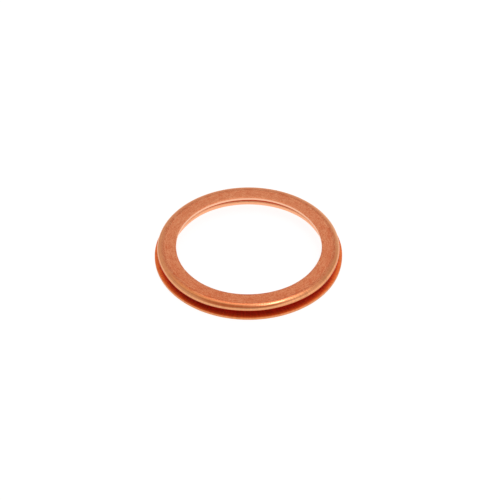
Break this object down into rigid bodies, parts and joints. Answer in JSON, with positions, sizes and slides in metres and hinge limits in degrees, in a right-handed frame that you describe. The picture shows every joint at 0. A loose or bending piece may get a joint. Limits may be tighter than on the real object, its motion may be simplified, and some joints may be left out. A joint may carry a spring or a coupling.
{
  "type": "sealing washer",
  "caption": "Folded copper sealing washer: one thin strip folded to an S in section and closed into a flat ring.",
  "frame": {"origin": "on the ring's axis, in the plane of the lower sealing face that it rests on", "axes": "+Z along the ring's axis, from the lower leaf towards the upper leaf; the ring is round, so +X is any radius"},
  "size_m": [0.026, 0.026, 0.002],
  "materials": {
    "copper": "satin"
  },
  "bodies": {
    "root": {"folded_ring": "copper"}
  },
  "joints": []
}
